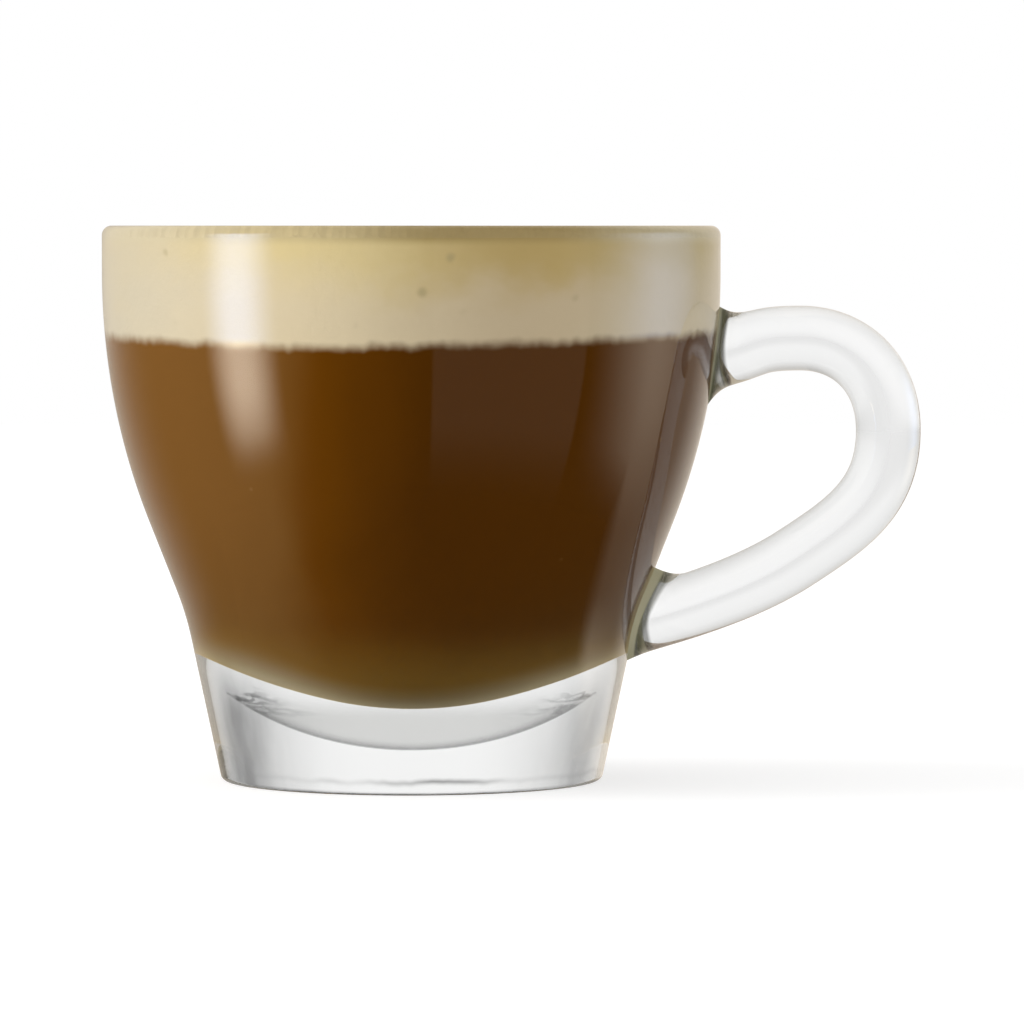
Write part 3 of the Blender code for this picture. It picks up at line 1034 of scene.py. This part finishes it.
cremaLook = {
    "tan": colour(0.40, 0.26, 0.09),
    "cream": colour(0.68, 0.55, 0.33),
    "creamCloud": (0.40, 0.62),
    "cloud": (38.0, 5.0, 0.62),
    "brown": colour(0.22, 0.115, 0.03),
    "brownGrain": (0.5, 0.75),
    "brownShare": 0.6,
    "grain": (320.0, 3.0, 0.6),
    # painted light and shade: edge tones lit on the side away from the handle, as in the foam's lists
    "edge": [
        colour(0.72, 0.62, 0.43), colour(0.74, 0.59, 0.31),
        colour(0.46, 0.33, 0.125), colour(0.68, 0.58, 0.37),
    ],
    "turn": (-14.0 * mm, 6.0 * mm),
    "edgeRadius": (35.5 * mm, 38.2 * mm),
    "bubbleScale": 900.0,
    "bubbleBump": (0.5, 0.4 * mm),
    "roughness": (0.3, 0.65),
}


def cremaFinish():
    look = cremaLook
    material, tree = newFinish("cremaTan")
    place = tree.place()
    cloud = tree.noise(place, *look["cloud"])
    grain = tree.noise(place, *look["grain"])
    base = tree.mixColour(tree.rise(cloud, *look["creamCloud"]), look["tan"], look["cream"])
    brown = tree.rise(grain, *look["brownGrain"]) * look["brownShare"]
    base = tree.mixColour(brown, base, look["brown"])
    edge = sideTones(tree, place, cloud, look["edge"], look["turn"])
    base = tree.mixColour(tree.rise(tree.fromAxis(place), *look["edgeRadius"]), base, edge)
    inputs = {
        "Base Color": base,
        "Roughness": between(grain, *look["roughness"]),
        "Normal": tree.bump(tree.cells(place, look["bubbleScale"]), *look["bubbleBump"]),
    }
    tree.output(tree.add("BsdfPrincipled", None, inputs))
    return material


melt = seatFinish()
finishes = [
    (makeBowl(), [glassFinish("bowlClearGlass", 1.0, bodyTint), melt]),
    (makeFoot(), [glassFinish("footClearGlass", 2.0, bodyTint), melt]),
    (makeHandle(), [glassFinish("handleClearGlass", 3.0, rodTint, jointShade)]),
    (makeCoffee(), [coffeeFinish()]),
    (makeFoam(), [foamFinish()]),
    (makeCrema(), [cremaFinish()]),
]
for piece, materials in finishes:
    for material in materials:
        piece.data.materials.append(material)
print("pieces and finishes done")


# studio: pale floor, white surroundings, a soft light from each side
studio = {
    "ambient": 0.78,
    "keyPower": 5.9,
    "keyPlace": (-0.85, -0.05, 0.40),
    "keySize": (0.5, 0.9),
    "fillPower": 0.7,
    "fillPlace": (0.85, 0.05, 0.35),
    "fillSize": (0.7, 0.9),
    "lightAim": (0.0, 0.0, 0.04),
    "floorRadius": 1.5,
    "floorSides": 96,
    "floorGap": 0.1 * mm,  # air below the foot, so that its base mirrors as glass does
    "floorTone": 0.70,
    "floorGlow": 0.46,
    "floorGlassGlow": 0.33,  # the same seen through glass
    "underFoot": 0.35,  # painted shadow: tone of the floor below the foot, seen through glass
    "underFootReach": (22.0 * mm, 32.0 * mm),
    "mirrorTone": 0.018,  # painted dark reflection: tone of the floor in mirror images, which is gone behind the cup and far away
    "mirrorShare": 0.3,
    "mirrorReach": (80.0 * mm, 150.0 * mm),
    "mirrorDepth": (-12.0 * mm, 4.0 * mm),
}


def makeFloor():
    angle = np.linspace(0.0, 2 * np.pi, studio["floorSides"], endpoint=False)
    points = np.column_stack([np.cos(angle), np.sin(angle), np.zeros_like(angle)]) * studio["floorRadius"]
    points[:, 2] -= studio["floorGap"]
    mesh = bpy.data.meshes.new("paleFloor")
    mesh.from_pydata(points.tolist(), [], [list(range(len(angle)))])
    floor = addObject("paleFloor", mesh)
    material, tree = newFinish("paleFloorCard")
    place = tree.place()
    fromAxis = tree.fromAxis(place)
    tones = [grey(studio[name]) for name in ("floorTone", "underFoot", "mirrorTone")]
    card, underFootShadow, dark = (tree.matt(tone) for tone in tones)
    glow, glassGlow = (
        tree.add("Emission", None, {"Color": grey(1.0), "Strength": studio[name]})
        for name in ("floorGlow", "floorGlassGlow")
    )
    # painted shadow on the floor below the foot, for rays through the glass
    near = tree.rise(fromAxis, *studio["underFootReach"])
    throughGlass = tree.mixShader(near, underFootShadow, tree.addShader(card, glassGlow))
    # painted dark reflection: the floor turns dark in mirror images near the cup
    throughGlass = tree.mixShader(tree.mirrored() * studio["mirrorShare"], throughGlass, dark)
    behind = tree.rise(tree.axes(place)[1], *studio["mirrorDepth"])
    far = tree.math("MAXIMUM", tree.rise(fromAxis, *studio["mirrorReach"]), behind)
    inMirror = tree.mixShader(far, dark, tree.clear(grey(1.0)))
    surface = tree.mixShader(tree.lightPath("Is Camera Ray"), card, tree.addShader(card, glow))
    surface = tree.mixShader(tree.lightPath("Is Glossy Ray"), surface, inMirror)
    tree.output(tree.mixShader(tree.lightPath("Is Transmission Ray"), surface, throughGlass))
    floor.data.materials.append(material)


# turns a light or the camera towards a point
def aimAt(thing, place, target):
    thing.location = place
    thing.rotation_euler = (Vector(target) - thing.location).to_track_quat("-Z", "Y").to_euler()


def makeLight(name, place, size, power):
    data = bpy.data.lights.new(name, "AREA")
    data.shape = "RECTANGLE"
    data.size, data.size_y = size
    data.energy = power
    lamp = addObject(name, data)
    aimAt(lamp, place, studio["lightAim"])
    lamp.visible_camera = False
    lamp.visible_glossy = False
    lamp.visible_transmission = False


# surroundings by compass angle from the front (degrees, right positive) and height above the horizon
surround = {
    "leftBox": (-76.0, -57.0, 8.0),
    "leftFoot": (-31.0, -15.0),
    "leftPower": (8.3, 5.0),  # beside the coffee and beside the foam
    "rightBox": (88.0, 120.0, 18.0),
    "rightFoot": (-38.0, -8.0),
    "rightPower": (1.8, 1.4),
    "boxTop": (8.0, 28.0),
    "boxTones": (colour(1.0, 0.87, 0.70), colour(0.83, 1.05, 1.60)),  # beside the coffee and the foam
    "foamLevel": (-12.3, -10.9),
    "veil": (9.0, 70.0, 1.0),
    "veilPower": 0.25,
    "behind": (112.0, 158.0),
    "behindSide": (-30.0, 30.0),
    "behindPower": (0.55, 0.80),
    "leastPower": 0.01,
    "mirrorTone": colour(1.0, 0.89, 0.76),
    "horizon": 0.89,  # what is seen through the glass: a little grey at the horizon and overhead
    "sky": (0.0, 10.0, 0.11),
    "overhead": (25.0, 55.0, 0.35),
    "mirrorLoss": 0.7,  # mirror images inside the glass are dimmer, less so upwards
    "mirrorRise": (9.0, 24.0),
    "mirrorKept": 0.25,
    "warmSide": (95.0, 125.0),  # the rod's mirror image in the bowl is warm in front of this
}


def makeWorld():
    world = bpy.data.worlds.new("studioWorld")
    bpy.context.scene.world = world
    tree = ShaderTree(world)
    x, y, z = tree.axes(tree.add("TexCoord", None, None, "Generated"))
    compass = tree.math("ARCTAN2", x, y * -1.0) * math.degrees(1.0)
    above = tree.math("ARCSINE", z) * math.degrees(1.0)
    away = tree.math("ABSOLUTE", compass)
    # what the glass mirrors: a tall soft box on the left, a broad one on the right, dark in front
    steep = above / tree.math("COSINE", compass * math.radians(0.5))
    level = tree.rise(steep, *surround["foamLevel"])  # where the wall stands nearly upright
    leftBox = tree.band(compass, *surround["leftBox"]) * tree.rise(above, *surround["leftFoot"])
    rightBox = tree.band(compass, *surround["rightBox"]) * tree.rise(above, *surround["rightFoot"])
    boxes = leftBox * between(level, *surround["leftPower"])
    boxes = boxes + rightBox * between(level, *surround["rightPower"])
    boxes = boxes * (1 - tree.rise(above, *surround["boxTop"]))
    side = between(tree.rise(compass, *surround["behindSide"]), *surround["behindPower"])
    behind = tree.rise(away, *surround["behind"]) * side
    rest = tree.band(compass, *surround["veil"]) * surround["veilPower"] + behind + surround["leastPower"]
    # what is seen through the glass
    skyLow, skyHigh, skyGain = surround["sky"]
    topLow, topHigh, topLoss = surround["overhead"]
    through = surround["horizon"] + tree.rise(above, skyLow, skyHigh) * skyGain
    through = through - tree.rise(above, topLow, topHigh) * topLoss
    mirrored = tree.mirrored()
    loss = mirrored * surround["mirrorLoss"]
    kept = 1 - loss * between(tree.rise(above, *surround["mirrorRise"]), 1.0, surround["mirrorKept"])
    rays = ("Is Camera Ray", "Is Glossy Ray", "Is Transmission Ray")
    cameraRay, glossyRay, throughRay = (tree.lightPath(ray) for ray in rays)
    plain = 1 - tree.math("MINIMUM", cameraRay + glossyRay + throughRay, 1.0)
    seen = tree.math("MAXIMUM", cameraRay, throughRay * through * kept)
    bounced = glossyRay * (1 - throughRay)
    strength = seen + bounced * rest + plain * studio["ambient"]
    warm = tree.math("MAXIMUM", bounced, mirrored * (1 - tree.rise(away, *surround["warmSide"])))
    tone = tree.mixColour(warm, grey(1.0), surround["mirrorTone"])
    light = tree.add("Background", None, {"Color": tone, "Strength": strength})
    boxTone = tree.mixColour(level, *surround["boxTones"])
    boxLight = tree.add("Background", None, {"Color": boxTone, "Strength": bounced * boxes})
    tree.output(tree.addShader(light, boxLight), "OutputWorld")


camera = {
    "place": (0.0135, -0.84, 0.0745),
    "aim": (0.0135, 0.0, 0.036),
    "lens": 219.7,
    "sensor": 36.0,
}


def makeCamera():
    data = bpy.data.cameras.new("photoCamera")
    data.lens = camera["lens"]
    data.sensor_width = camera["sensor"]
    view = addObject("photoCamera", data)
    aimAt(view, camera["place"], camera["aim"])
    bpy.context.scene.camera = view


makeFloor()
makeLight("leftLight", studio["keyPlace"], studio["keySize"], studio["keyPower"])
makeLight("rightLight", studio["fillPlace"], studio["fillSize"], studio["fillPower"])
makeWorld()
makeCamera()
bpy.context.scene.view_settings.view_transform = "Standard"
print("studio done")
